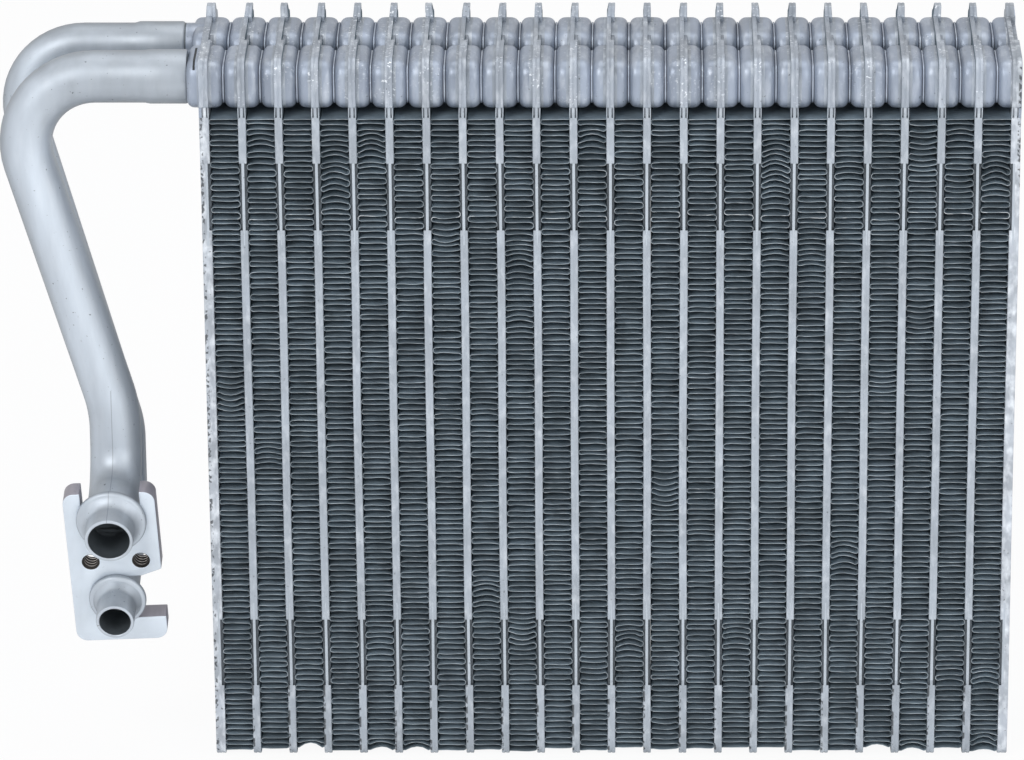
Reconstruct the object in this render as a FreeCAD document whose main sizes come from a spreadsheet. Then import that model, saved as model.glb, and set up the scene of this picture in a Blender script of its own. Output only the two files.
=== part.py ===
import FreeCAD, Part
import math
import os

Vector = FreeCAD.Vector

# Air-conditioning evaporator core of laminated plates.
# X runs along the tanks, -Y is the face that the air leaves by, +Z is up.
# The origin is on the underside, at the middle of the core.

TUBES = 21
SIDES = (-1, 1)

SIZES = [
    ("plate_pitch", 11.3, "centre of one tube to the next"),
    ("core_depth", 53.0, "front edge to rear edge of a plate"),
    ("tube_thickness", 2.4, "two drawn plates brazed face to face"),
    ("bottom_radius", 4.0, "lower corners of a plate"),
    ("lip_top", 216.4, "top of the fin space"),
    ("neck_upper_top", 201.4, "upper stretch without lips, top"),
    ("neck_upper_bottom", 179.5, "upper stretch without lips, bottom"),
    ("neck_lower_top", 47.9, "lower stretch without lips, top"),
    ("neck_lower_bottom", 25.1, "lower stretch without lips, bottom"),
    ("seam_thickness", 1.0, "brazed seam where the lips are missing"),
    ("seam_depth", 1.6, "seam in front of the refrigerant channel"),
    ("tank_spacing", 27.0, "front tank to rear tank"),
    ("cup_depth", 22.4, "one drawn cup, front to rear"),
    ("cup_height", 15.5, "one drawn cup, bottom to top"),
    ("cup_radius", 5.0, "corners of a cup"),
    ("cup_shoulder", 2.2, "bevel where a cup meets the next cup"),
    ("cup_gap", 1.2, "fin space to the underside of the cups"),
    ("tank_rim", 1.8, "flat rim round the cups"),
    ("rim_radius", 4.0, "upper corners of the rim"),
    ("tab_rise", 2.8, "locating tab above the rim"),
    ("tab_width", 5.6, "locating tab at its foot"),
    ("tab_draft", 0.9, "slope of each side of the tab"),
    ("end_sheet", 0.6, "end plate thicker than a tube on its outer side"),
    ("boss_shoulder", 1.0, "bevel of the two pipe bosses"),
    ("fin_recess", 0.8, "fins behind the edges of the plates"),
    ("fin_foot", 1.6, "underside of the fins above the base"),
    ("fin_head", 0.6, "top of the fins below the fin space's top"),
    ("fin_sheet", 0.3, "thickness of the folded strip"),
    ("suction_radius", 8.1, "suction pipe, outside"),
    ("suction_bore", 6.8, "suction pipe, inside"),
    ("liquid_radius", 6.35, "liquid pipe, outside"),
    ("liquid_bore", 5.1, "liquid pipe, inside"),
    ("liquid_lift", 1.6, "liquid pipe above the tank's centre"),
    ("suction_sleeve", 11.8, "widened end of the suction pipe"),
    ("suction_sleeve_radius", 8.4, "widened end, outside"),
    ("liquid_sleeve", 14.0, "widened end of the liquid pipe"),
    ("liquid_sleeve_radius", 6.8, "widened end, outside"),
    ("liquid_neck", 2.6, "narrow stretch beside the boss"),
    ("sleeve_taper", 1.5, "slope from a widened end to its pipe"),
    ("sleeve_wall", 1.5, "end wall between a pipe and its spigot in the boss"),
    ("neck_radius", 5.6, "spigots that enter the bosses"),
    ("neck_entry", 3.5, "depth of the spigots in the bosses"),
    ("neck_bore", 4.6, "bore of those spigots"),
    ("suction_corner", 188.0, "corner of the suction pipe left of the middle"),
    ("liquid_corner", 190.6, "corner of the liquid pipe left of the middle"),
    ("suction_upright", 23.6, "upright stretch of the suction pipe above its elbow"),
    ("liquid_upright", 31.8, "upright stretch of the liquid pipe above its elbow"),
    ("suction_bend", 22.0, "upper bend of the suction pipe"),
    ("liquid_bend", 20.0, "upper bend of the liquid pipe"),
    ("suction_easy_bend", 45.0, "lower bend of the suction pipe"),
    ("liquid_easy_bend", 34.0, "lower bend of the liquid pipe"),
    ("elbow_bend", 16.0, "bends into the flange"),
    ("flange_left", 156.0, "suction spigot left of the middle"),
    ("flange_front", 11.5, "flange face in front of the core"),
    ("flange_height", 87.3, "suction spigot above the base"),
    ("flange_pitch", 10.0, "flange face turned downwards"),
    ("flange_roll", 2.5, "flange turned in its own plane"),
    ("flange_thickness", 7.0, "forked plate"),
    ("flange_half_left", 14.8, "suction axis to the left edge"),
    ("flange_half_right", 14.0, "suction axis to the right edge"),
    ("flange_top", 9.7, "suction axis to the top of the prongs"),
    ("spigot_spacing", 29.2, "suction axis to liquid axis"),
    ("spigot_shift", -0.5, "liquid axis beside the suction axis"),
    ("fork_slack", 1.2, "fork round the suction pipe"),
    ("hook_slack", 1.5, "side slot round the liquid pipe"),
    ("foot_height", 8.2, "lug under the side slot"),
    ("cheek_rise", 2.3, "slope above the side slot"),
    ("cheek_run", 6.4, "length of that slope"),
    ("flange_corner", 3.6, "outer corners of the flange"),
    ("hole_half_spacing", 7.9, "threaded holes beside the suction axis"),
    ("hole_drop", 15.5, "threaded holes below the suction axis"),
    ("hole_radius", 2.6, "threaded holes"),
    ("bead_rim", 1.9, "rim of the beads on the flange"),
    ("bead_slope", 3.0, "slope from bead to spigot"),
    ("suction_bead", 11.0, "bead of the suction spigot"),
    ("suction_spigot", 7.6, "suction spigot, outside"),
    ("suction_mouth", 6.5, "suction spigot, inside"),
    ("suction_reach", 12.2, "suction spigot in front of the flange"),
    ("liquid_bead", 9.0, "bead of the liquid spigot"),
    ("liquid_spigot", 6.0, "liquid spigot, outside"),
    ("liquid_mouth", 4.95, "liquid spigot, inside"),
    ("liquid_reach", 14.0, "liquid spigot in front of the flange"),
]

CUP_CORNER_STEPS = 1
PLATE_CORNER_STEPS = 2
FIN_FOLDS = 22
PIPE_SIDES = 14
BORE_SIDES = 8
BEND_STEPS = 4
EASY_STEPS = 2
ELBOW_STEPS = 3

doc = FreeCAD.newDocument("EvaporatorCore")
sheet = doc.addObject("Spreadsheet::Sheet", "Sizes")
for row, (alias, number, note) in enumerate(SIZES, start=1):
    sheet.set("A%d" % row, alias)
    sheet.set("B%d" % row, str(number))
    sheet.setAlias("B%d" % row, alias)
    sheet.set("C%d" % row, note)
doc.recompute()


def size(alias):
    return float(sheet.get(alias))


# Heights and places that follow from the sizes
pitch = size("plate_pitch")
half_pitch = pitch / 2
half_depth = size("core_depth") / 2
half_tube = size("tube_thickness") / 2
cup_bottom = size("lip_top") + size("cup_gap")
cup_top = cup_bottom + size("cup_height")
tank_height = (cup_bottom + cup_top) / 2
rim_top = cup_top + size("tank_rim")
tank_y = size("tank_spacing") / 2
end_x = pitch * (TUBES + 1) / 2


def rounded(points, radii, steps):
    """Outline with each corner of a radius above zero replaced by chords of its arc."""
    outline = []
    count = len(points)
    for index, corner in enumerate(points):
        radius = radii[index]
        if radius <= 0:
            outline.append(corner)
            continue
        here = Vector(corner[0], corner[1], 0)
        before = (Vector(*points[index - 1], 0) - here).normalize()
        after = (Vector(*points[(index + 1) % count], 0) - here).normalize()
        half_angle = before.getAngle(after) / 2
        start = here + before * (radius / math.tan(half_angle))
        end = here + after * (radius / math.tan(half_angle))
        centre = here + (before + after).normalize() * (radius / math.sin(half_angle))
        turn = (start - centre).cross(end - centre).z
        sweep = math.copysign((start - centre).getAngle(end - centre), turn)
        for step in range(steps + 1):
            angle = sweep * step / steps
            arm = start - centre
            x = centre.x + arm.x * math.cos(angle) - arm.y * math.sin(angle)
            y = centre.y + arm.x * math.sin(angle) + arm.y * math.cos(angle)
            outline.append((x, y))
    return outline


def slab(outline, x_from, x_to):
    """Solid between two planes across X, from an outline of Y and Z."""
    points = [Vector(x_from, y, z) for y, z in outline]
    face = Part.Face(Part.makePolygon(points + points[:1]))
    return face.extrude(Vector(x_to - x_from, 0, 0))


def rectangle(y_from, y_to, z_from, z_to):
    return [(y_from, z_from), (y_to, z_from), (y_to, z_to), (y_from, z_to)]


# Plates: what a tube and an end plate share

def plate_outline():
    """Edge of a plate seen from the side, with the locating tab over the rear tank."""
    foot = size("tab_width") / 2
    head = foot - size("tab_draft")
    middle = tank_y + size("tab_width")
    crest = rim_top + size("tab_rise")
    corners = [(-half_depth, 0), (half_depth, 0), (half_depth, rim_top),
               (middle + foot, rim_top), (middle + head, crest),
               (middle - head, crest), (middle - foot, rim_top), (-half_depth, rim_top)]
    low = size("bottom_radius")
    high = size("rim_radius")
    return rounded(corners, (low, low, high, 0, 0, 0, 0, high), PLATE_CORNER_STEPS)


def cup(y_middle, x_from, x_to, shoulder_from, shoulder_to):
    """Drawn cup with its shoulder at either end, or none where the bevel is zero."""
    half = size("cup_depth") / 2
    corners = rectangle(y_middle - half, y_middle + half, cup_bottom, cup_top)
    body = slab(rounded(corners, [size("cup_radius")] * 4, CUP_CORNER_STEPS), x_from, x_to)
    for x_end, shoulder in ((x_from, shoulder_from), (x_to, shoulder_to)):
        if shoulder > 0:
            rim = [edge for edge in body.Edges if all(abs(v.X - x_end) < 1e-6 for v in edge.Vertexes)]
            body = body.makeChamfer(shoulder, rim)
    return body


def lip_gaps():
    """Spaces beside the seam in the two stretches where the front lips are missing."""
    gaps = []
    half_seam = size("seam_thickness") / 2
    stretches = ((size("neck_upper_bottom"), size("neck_upper_top")),
                 (size("neck_lower_bottom"), size("neck_lower_top")))
    for z_from, z_to in stretches:
        for side in SIDES:
            corner = Vector(min(side * half_seam, side * half_tube), -half_depth, z_from)
            gaps.append(Part.makeBox(half_tube - half_seam, size("seam_depth"), z_to - z_from, corner))
    return Part.makeCompound(gaps)


def pipe_height(row):
    """Height of a pipe's axis at its tank: the suction pipe in front, the liquid pipe behind."""
    return tank_height if row < 0 else tank_height + size("liquid_lift")


def pipe_section(centre, heading, radius, sides):
    """Corners of a pipe's many-sided section."""
    across = heading.cross(Vector(0, 1, 0)).normalize()
    upward = heading.cross(across)
    ring = []
    for side in range(sides):
        angle = 2 * math.pi * (side + 0.5) / sides
        ring.append(centre + across * (radius * math.cos(angle)) + upward * (radius * math.sin(angle)))
    return ring


def boss_socket(row):
    """Socket for the end of a pipe, in the middle of its boss."""
    inner_end = Vector(size("neck_entry") - half_pitch, row * tank_y, pipe_height(row))
    ring = pipe_section(inner_end, Vector(-1, 0, 0), size("neck_radius"), PIPE_SIDES)
    return Part.Face(Part.makePolygon(ring + ring[:1])).extrude(Vector(-size("neck_entry"), 0, 0))


def tube_shape():
    """One tube: two drawn plates brazed face to face, closed, with both their cups."""
    shoulder = size("cup_shoulder")
    cups = [cup(side * tank_y, -half_pitch, half_pitch, shoulder, shoulder) for side in SIDES]
    tube = slab(plate_outline(), -half_tube, half_tube).cut(lip_gaps())
    return tube.fuse(cups).removeSplitter()


def end_plate_shape(side):
    """End plate: half cups inwards and, on the left, bosses outwards with sockets for the pipes."""
    outer = side * (half_tube + size("end_sheet"))
    inner = -side * half_tube
    plate = slab(plate_outline(), min(outer, inner), max(outer, inner))
    for row in SIDES:
        if side < 0:
            cups = cup(row * tank_y, -half_pitch, half_pitch, size("boss_shoulder"), size("cup_shoulder"))
            plate = plate.fuse(cups).cut(boss_socket(row))
        else:
            plate = plate.fuse(cup(row * tank_y, -half_pitch, 0, size("cup_shoulder"), 0))
    return plate.removeSplitter()


# Fins


def fin_shape():
    """Folded strip between two tubes, its crests on the tubes' flat sides."""
    half_gap = half_pitch - half_tube
    foot = size("fin_foot")
    head = size("lip_top") - size("fin_head")
    rise = (head - foot) / FIN_FOLDS
    slope = math.atan2(rise, 2 * half_gap)
    step = size("fin_sheet") / math.sin(slope)
    right_chain = []
    left_chain = []
    for fold in range(FIN_FOLDS + 1):
        height = foot + fold * rise
        to_right = fold % 2
        right_chain.append((half_gap if to_right else step - half_gap, height))
        left_chain.append((half_gap - step if to_right else -half_gap, height))
    front = size("fin_recess") - half_depth
    points = [Vector(x, front, z) for x, z in right_chain + left_chain[::-1]]
    face = Part.Face(Part.makePolygon(points + points[:1]))
    return face.extrude(Vector(0, -2 * front, 0))


# Pipes

def flange_placement():
    """Frame of the flange: its face looks forward and a little down, on the suction axis."""
    tilt = FreeCAD.Rotation(Vector(1, 0, 0), 90 + size("flange_pitch"))
    roll = FreeCAD.Rotation(Vector(0, 0, 1), size("flange_roll"))
    base = Vector(-size("flange_left"), -half_depth - size("flange_front"), size("flange_height"))
    return FreeCAD.Placement(base, tilt.multiply(roll))


def spigot_placement(row):
    """Frame of a spigot, with its seat on the flange's face."""
    place = flange_placement()
    shift = Vector(0, 0, 0) if row < 0 else Vector(size("spigot_shift"), -size("spigot_spacing"), 0)
    return FreeCAD.Placement(place.multVec(shift), place.Rotation)


def spigot_shape(kind):
    """Beaded spigot turned about its own axis, with its seat at zero."""
    nose = size(kind + "_spigot")
    mouth = size(kind + "_mouth")
    reach = size(kind + "_reach")
    bead = size(kind + "_bead")
    rim = size("bead_rim")
    profile = [(mouth, 0), (bead, 0), (bead, rim), (nose, rim + size("bead_slope")),
               (nose, reach), (mouth, reach)]
    corners = [Vector(radius, 0, height) for radius, height in profile]
    section = Part.Face(Part.makePolygon(corners + corners[:1]))
    return section.revolve(Vector(0, 0, 0), Vector(0, 0, 1), 360)


def bent_route(points, radii, steps):
    """Points of straight runs with an arc, in chords, at each corner."""
    route = [points[0]]
    for index in range(1, len(points) - 1):
        corner = points[index]
        back = (points[index - 1] - corner).normalize()
        ahead = (points[index + 1] - corner).normalize()
        half_angle = back.getAngle(ahead) / 2
        radius = radii[index - 1]
        start = corner + back * (radius / math.tan(half_angle))
        centre = corner + (back + ahead).normalize() * (radius / math.sin(half_angle))
        sweep = math.pi - 2 * half_angle
        for step in range(steps[index - 1] + 1):
            angle = sweep * step / steps[index - 1]
            arm = (start - centre) * math.cos(angle) - back * (radius * math.sin(angle))
            route.append(centre + arm)
    return route + [points[-1]]


def rings_along(stations, sides):
    """Sections at each station of a centre line, mitred where it turns, from points and radii."""
    points = [station[0] for station in stations]
    start_heading = (points[1] - points[0]).normalize()
    ring = pipe_section(points[0], start_heading, stations[0][1], sides)
    rings = [ring]
    heading = start_heading
    for index in range(1, len(points)):
        run = points[index] - points[index - 1]
        if run.Length > 1e-6:
            heading = run.normalize()
        ahead = heading
        if index + 1 < len(points) and (points[index + 1] - points[index]).Length > 1e-6:
            ahead = (points[index + 1] - points[index]).normalize()
        mitre = heading + ahead
        grown = []
        for corner in ring:
            offset = corner - points[index - 1]
            spoke = (offset - heading * offset.dot(heading)) * (stations[index][1] / stations[index - 1][1])
            carried = points[index] + spoke
            grown.append(carried + heading * ((points[index] - carried).dot(mitre) / heading.dot(mitre)))
        ring = grown
        rings.append(ring)
    return rings


def skin(rings):
    """Closed solid through rings of equal corners, with a flat cap at either end."""
    faces = [Part.Face(Part.makePolygon(ring + ring[:1])) for ring in (rings[0], rings[-1])]
    sides = len(rings[0])
    for ring, following in zip(rings, rings[1:]):
        for side in range(sides):
            after = (side + 1) % sides
            corners = [ring[side], ring[after], following[after], following[side]]
            faces.append(Part.Face(Part.makePolygon(corners + corners[:1])))
    shell = Part.makeShell(faces)
    shell.sewShape()
    solid = Part.makeSolid(shell)
    if solid.Volume < 0:
        solid.reverse()
    return solid


def pipe_route(row):
    """Centre line of a pipe from its boss to the seat of its spigot."""
    kind = "suction" if row < 0 else "liquid"
    y = row * tank_y
    height = pipe_height(row)
    place = spigot_placement(row)
    seat = place.Base
    normal = place.Rotation.multVec(Vector(0, 0, 1))
    elbow = seat + normal * ((y - seat.y) / normal.y)
    corner_x = -size(kind + "_corner")
    start = Vector(-end_x - half_pitch, y, height)
    points = [start, Vector(corner_x, y, height), elbow + Vector(0, 0, size(kind + "_upright")), elbow, seat]
    radii = [size(kind + "_bend"), size(kind + "_easy_bend"), size("elbow_bend")]
    return bent_route(points, radii, [BEND_STEPS, EASY_STEPS, ELBOW_STEPS])


def pipe_shape(row):
    """Bent pipe from its boss to its spigot, hollow from end to end."""
    kind = "suction" if row < 0 else "liquid"
    route = pipe_route(row)
    face = route[0]
    entry = face + Vector(size("neck_entry"), 0, 0)
    sleeve_from = face if row < 0 else face - Vector(size("liquid_neck"), 0, 0)
    sleeve_to = sleeve_from - Vector(size(kind + "_sleeve"), 0, 0)
    taper_to = sleeve_to - Vector(size("sleeve_taper"), 0, 0)
    shoulder = sleeve_from - Vector(size("sleeve_wall"), 0, 0)
    neck = size("neck_radius")
    wide = size(kind + "_sleeve_radius")
    radius = size(kind + "_radius")
    bore = size(kind + "_bore")
    outside = [(entry, neck), (sleeve_from, neck), (sleeve_from, wide), (sleeve_to, wide), (taper_to, radius)]
    outside += [(point, radius) for point in route[1:]]
    inside = [(entry, size("neck_bore")), (shoulder, size("neck_bore")), (shoulder, bore)]
    inside += [(point, bore) for point in route[1:]]
    pipe = skin(rings_along(outside, PIPE_SIDES)).cut(skin(rings_along(inside, BORE_SIDES)))
    spigot = spigot_shape(kind)
    spigot.Placement = spigot_placement(row)
    return pipe.fuse(spigot)


# Flange

def upright_edges(shape, places):
    """Names of the edges across the plate that stand at the given places."""
    names = []
    for number, edge in enumerate(shape.Edges, start=1):
        ends = edge.Vertexes
        if len(ends) == 2 and abs(ends[0].X - ends[1].X) + abs(ends[0].Y - ends[1].Y) < 1e-6:
            if any(math.hypot(ends[0].X - x, ends[0].Y - y) < 1e-4 for x, y in places):
                names.append("Edge%d" % number)
    return names


def origin_plane(body, role):
    return [part for part in body.Origin.OriginFeatures if part.Role == role][0]


def flange_body():
    """Forked plate that clamps both spigots to the expansion valve."""
    body = doc.addObject("PartDesign::Body", "valve_flange")
    body.Label = "valve_flange"
    left = -size("flange_half_left")
    right = size("flange_half_right")
    top = size("flange_top")
    fork = size("suction_radius") + size("fork_slack")
    hook = size("liquid_radius") + size("hook_slack")
    axis_x = size("spigot_shift")
    axis_y = -size("spigot_spacing")
    bottom = axis_y - hook - size("foot_height")
    cheek_y = axis_y + hook
    cheek_x = right - size("cheek_run")
    outline = body.newObject("Sketcher::SketchObject", "Outline")
    outline.AttachmentSupport = [(origin_plane(body, "XY_Plane"), "")]
    outline.MapMode = "FlatFace"
    runs = [
        [(fork, 0), (fork, top), (right, top), (right, cheek_y + size("cheek_rise")),
         (cheek_x, cheek_y), (axis_x, cheek_y)],
        [(axis_x, axis_y - hook), (right, axis_y - hook), (right, bottom), (left, bottom),
         (left, top), (-fork, top), (-fork, 0)],
    ]
    for run in runs:
        for start, end in zip(run, run[1:]):
            outline.addGeometry(Part.LineSegment(Vector(*start, 0), Vector(*end, 0)), False)
    round_end = Part.Circle(Vector(axis_x, axis_y, 0), Vector(0, 0, 1), hook)
    outline.addGeometry(Part.ArcOfCircle(round_end, math.pi / 2, 3 * math.pi / 2), False)
    fork_end = Part.Circle(Vector(0, 0, 0), Vector(0, 0, 1), fork)
    outline.addGeometry(Part.ArcOfCircle(fork_end, math.pi, 2 * math.pi), False)
    pad = body.newObject("PartDesign::Pad", "Plate")
    pad.Profile = outline
    pad.Reversed = True
    pad.setExpression("Length", "Sizes.flange_thickness")
    doc.recompute()
    holes = body.newObject("Sketcher::SketchObject", "HoleCentres")
    holes.AttachmentSupport = [(origin_plane(body, "XY_Plane"), "")]
    holes.MapMode = "FlatFace"
    for side in SIDES:
        centre = Vector(side * size("hole_half_spacing"), -size("hole_drop"), 0)
        holes.addGeometry(Part.Circle(centre, Vector(0, 0, 1), size("hole_radius")), False)
    pocket = body.newObject("PartDesign::Pocket", "ThreadedHoles")
    pocket.Profile = holes
    pocket.Type = 1
    pocket.Reversed = False
    doc.recompute()
    if pocket.Shape.Volume >= pad.Shape.Volume:
        raise RuntimeError("The threaded holes cut nothing from the flange")
    corners = body.newObject("PartDesign::Fillet", "OuterCorners")
    places = [(left, top), (right, top), (left, bottom), (right, bottom)]
    corners.Base = (pocket, upright_edges(pocket.Shape, places))
    corners.setExpression("Radius", "Sizes.flange_corner")
    doc.recompute()
    body.Placement = flange_placement()
    return body


def add_part(label, shape, expression=None):
    """Sub-part with a shape of its own, placed along X by an expression on the sizes."""
    part = doc.addObject("Part::Feature", label)
    part.Label = label
    part.Shape = shape
    if expression:
        part.setExpression("Placement.Base.x", expression)
    return part


parts = []
parts.append(add_part("end_plate_left", end_plate_shape(-1), "-Sizes.plate_pitch * %g" % ((TUBES + 1) / 2)))
parts.append(add_part("end_plate_right", end_plate_shape(1), "Sizes.plate_pitch * %g" % ((TUBES + 1) / 2)))
tube = tube_shape()
for number in range(1, TUBES + 1):
    offset = number - (TUBES + 1) / 2
    parts.append(add_part("tube_%02d" % number, tube, "Sizes.plate_pitch * (%g)" % offset))
fin = fin_shape()
for number in range(1, TUBES + 2):
    offset = number - TUBES / 2 - 1
    parts.append(add_part("fin_%02d" % number, fin, "Sizes.plate_pitch * (%g)" % offset))
parts.append(add_part("suction_pipe", pipe_shape(-1)))
parts.append(add_part("liquid_pipe", pipe_shape(1)))
parts.append(flange_body())

doc.recompute()

for thing in doc.Objects:
    if "Invalid" in thing.State or "Error" in thing.State:
        raise RuntimeError("%s failed: %s" % (thing.Label, thing.State))
for part in parts:
    if part.Shape.isNull() or not part.Shape.isValid():
        raise RuntimeError("%s has no valid shape" % part.Label)

os.makedirs("parts", exist_ok=True)
for part in parts:
    part.Shape.exportStep("parts/%s.step" % part.Label)
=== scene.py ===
import math
import random

import bmesh
import bpy
from mathutils import Matrix, Vector


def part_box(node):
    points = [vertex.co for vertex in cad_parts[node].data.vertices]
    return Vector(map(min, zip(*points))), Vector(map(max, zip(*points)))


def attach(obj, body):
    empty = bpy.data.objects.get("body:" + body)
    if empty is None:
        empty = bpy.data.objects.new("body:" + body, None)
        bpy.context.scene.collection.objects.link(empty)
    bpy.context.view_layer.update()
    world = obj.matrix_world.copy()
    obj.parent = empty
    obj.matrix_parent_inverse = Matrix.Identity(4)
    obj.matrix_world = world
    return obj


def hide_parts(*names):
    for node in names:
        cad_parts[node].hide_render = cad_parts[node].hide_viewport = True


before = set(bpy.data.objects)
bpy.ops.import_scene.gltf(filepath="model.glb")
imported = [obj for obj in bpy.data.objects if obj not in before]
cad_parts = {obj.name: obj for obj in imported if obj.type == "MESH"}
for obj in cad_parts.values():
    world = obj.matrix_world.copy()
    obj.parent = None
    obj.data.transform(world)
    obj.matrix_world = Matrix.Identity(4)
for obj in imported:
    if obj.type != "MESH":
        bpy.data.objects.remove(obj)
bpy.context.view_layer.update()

# Laminated evaporator core. Lengths are millimetres and MM turns them into the frame's metres.
# X runs along the tanks, -Y is the front, +Z is up.

MM = 0.001
HAIR = 1e-6
CUT_DISTANCE = 1e-5
SLACK = 0.1
FINE_SLACK = 0.05
SMOOTH_BELOW = math.radians(35.0)
TUBES = 21
SIDES = (-1, 1)

# Core, read from the frame
first_low, first_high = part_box("tube_01")
second_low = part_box("tube_02")[0]
PITCH = (second_low.x - first_low.x) / MM
HALF_PITCH = PITCH / 2
FRONT = first_low.y / MM
BACK = first_high.y / MM
CREST = first_high.z / MM
END_X = PITCH * (TUBES + 1) / 2
RIGHT_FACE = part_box("end_plate_right")[1].x / MM
FIN_LOW, FIN_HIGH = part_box("fin_01")

# Plates
HALF_TUBE = 1.2
END_OUTER = RIGHT_FACE - END_X
SEAM_GAP = 0.1
SEAM_HALF = 0.42
SEAM_RECESS = 0.05
RIM_GROOVE = 0.12
LIP_DEPTH = 1.6
NECKS = ((25.1, 47.9), (179.5, 201.4))
WINDOW = (216.4, 219.6)
WINDOW_DEPTH = 1.0
WINDOW_EAR = 0.28
RIM_TOP = 234.9
BOTTOM_RADIUS = 4.0
RIM_RADIUS = 4.0
NOTCH = (-6.5, 15.6)
NOTCH_DROP = 2.4
TAB_MIDDLE = 19.1
TAB_FOOT = 2.8
TAB_HEAD = 1.9
TAB_PINCH = 0.12
EDGE_BEVEL = 0.16
CORNER_SEGMENTS = 5
SHARP_CORNER = math.radians(50)
LEVELS = 16
LEVELS_MARGIN = 20.0
RIM_BRAZE = (0.1, 0.05)
NECK_BACK = 0.3
SEAM_SLACK = 0.01
SCUFF_TOP = 28.0
SCUFF_FOOT = 200.0
SCUFF_DEPTH = 0.4
SCUFF_SLACK = 0.02
SWAY = (0.03, 0.12)
SWAY_WAVE = 0.045
TAB_LEAN = 0.35
TUBE_SEED = 100
LEFT_SEED = 31
RIGHT_SEED = 32
# A face belongs to a side when its normal leans this far towards it
FACES_ALONG = 0.9
# Places in the list of a plate's finishes, after that of its face
CUP, NECK, SLIT, RIM, SEAM, SIDE = range(1, 7)

# Tank cups
TANK_Y = 13.5
CUP_DEPTH = 22.4
CUP_BOTTOM = 217.6
CUP_TOP = 233.1
CUP_RADIUS = 5.0
CUP_SHOULDER = 2.3
CUP_CROWN = 0.28
CUP_SEGMENTS = 7
SHOULDER_SEGMENTS = 5
CUP_CUTS = (0.3, 0.5, 0.7)
RING_WIDTH = 0.22
RING_INSET = 1.55
BOSS_SHOULDER = 2.1
BOSS_SLIT = (-3.55, -2.85)
BOSS_SLIT_FOOT = 230.9
BOSS_SLIT_BACK = -9.0
BOSS_SLIT_START = 0.7

# Fins
WAVES = 59
FIN_SHEET = 0.15
FIN_BITE = 0.13
LEG_POINTS = 5
TURN_POINTS = 4
SPACING_SPREAD = 0.12
LEG_SAG = 0.2
LEG_TILT = 0.22
FRONT_SPREAD = 0.15
FOOT_SPREAD = 1.5
STRAY_MARGIN = 6.0
STRAY_BOW = 0.6
STRAY_REACH = (3.0, 9.0)
FIN_SEED = 500
TURN_FACES_ALONG = 0.8
# Places in the list of a fin's finishes, after that of its folds
CUT_EDGE, TURN = range(1, 3)
# Bowed legs seen in the columns: height, depth of the bow, half height of the group
BOWS = {
    1: ((124.0, -0.9, 7.0),),
    2: ((106.0, 0.8, 6.0), (208.0, 0.7, 6.0)),
    3: ((2.5, 1.6, 2.5),),
    4: ((197.0, 0.9, 12.0),),
    5: ((206.0, 1.1, 7.0), (2.5, 1.1, 2.5)),
    6: ((2.5, 1.4, 2.0),),
    7: ((177.5, -0.9, 6.0),),
    8: ((56.0, 0.9, 6.0),),
    9: ((169.0, 1.0, 6.0), (43.0, -0.9, 6.0)),
    11: ((209.0, 0.9, 5.0),),
    12: ((39.6, 1.0, 6.0),),
    13: ((92.8, -1.0, 7.0),),
    16: ((199.0, 1.2, 11.0),),
    18: ((69.6, 0.9, 7.0),),
    19: ((2.5, 1.0, 2.0),),
    20: ((150.0, -0.7, 6.0), (3.0, 1.3, 2.2)),
    21: ((194.0, -0.6, 4.0), (210.0, 0.7, 4.0)),
    22: ((197.0, 1.3, 6.0), (27.0, 0.9, 5.0), (4.5, 1.5, 3.0)),
}

# Pipes: boss end, corners, bends and spigot
PIPE_SIDES = 44
PIPES = {
    "suction": {
        "y": -TANK_Y, "height": 225.35, "radius": 8.1, "bore": 6.8, "sleeve": 11.8, "sleeve_radius": 8.4,
        "neck": 0.0, "corner_x": -188.0, "upright": 23.6, "bends": (22.0, 45.0, 16.0), "shift": (0.0, 0.0, 0.0),
        "bead": 11.0, "spigot": 7.6, "mouth": 6.5, "reach": 12.2,
    },
    "liquid": {
        "y": TANK_Y, "height": 226.95, "radius": 6.35, "bore": 5.1, "sleeve": 14.0, "sleeve_radius": 6.8,
        "neck": 2.6, "corner_x": -190.0, "upright": 31.8, "bends": (20.0, 34.0, 16.0), "shift": (-0.5, -29.2, 0.0),
        "bead": 9.0, "spigot": 6.0, "mouth": 4.95, "reach": 14.0,
    },
}
BEND_STEPS = (16, 10, 14)
NECK_RADIUS = 6.3
NECK_ENTRY = 3.5
NECK_SHADE = 0.45
SLEEVE_TAPER = 1.5
SLEEVE_WALL = 1.5
SLEEVE_ROUND = 0.2
SLEEVE_LIP = 0.7
NECK_WALL = 1.0
BORE_STEP = 0.1
BEAD_RIM = 1.9
BEAD_SLOPE = 3.0
# Rounded corners of the bead and spigot, from the radius and height of the corner itself
BEAD_BACK_ROUND = ((-0.6, 0.0), (-0.2, 0.18), (0.0, 0.6))
BEAD_FRONT_ROUND = ((0.0, -0.6), (-0.12, -0.2), (-0.45, 0.15), (-0.95, 0.3), (-1.35, 0.45))
SPIGOT_FOOT_ROUND = ((0.95, -1.35), (0.4, -0.65), (0.1, 0.1), (0.0, 0.7))
SPIGOT_TIP_ROUND = ((0.0, -0.45), (-0.12, -0.12), (-0.4, 0.0))
MOUTH_ROUND = ((0.2, 0.0), (0.0, -0.2))
MOUTH_BACK = -1.0
MOUTH_LIP = 0.3
WELD_DISTANCE = 1e-4
BOSS_FACE = -END_X - HALF_PITCH
# Places in the list of a pipe's finishes, after that of its wall
BORE, COLLAR = range(1, 3)

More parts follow.
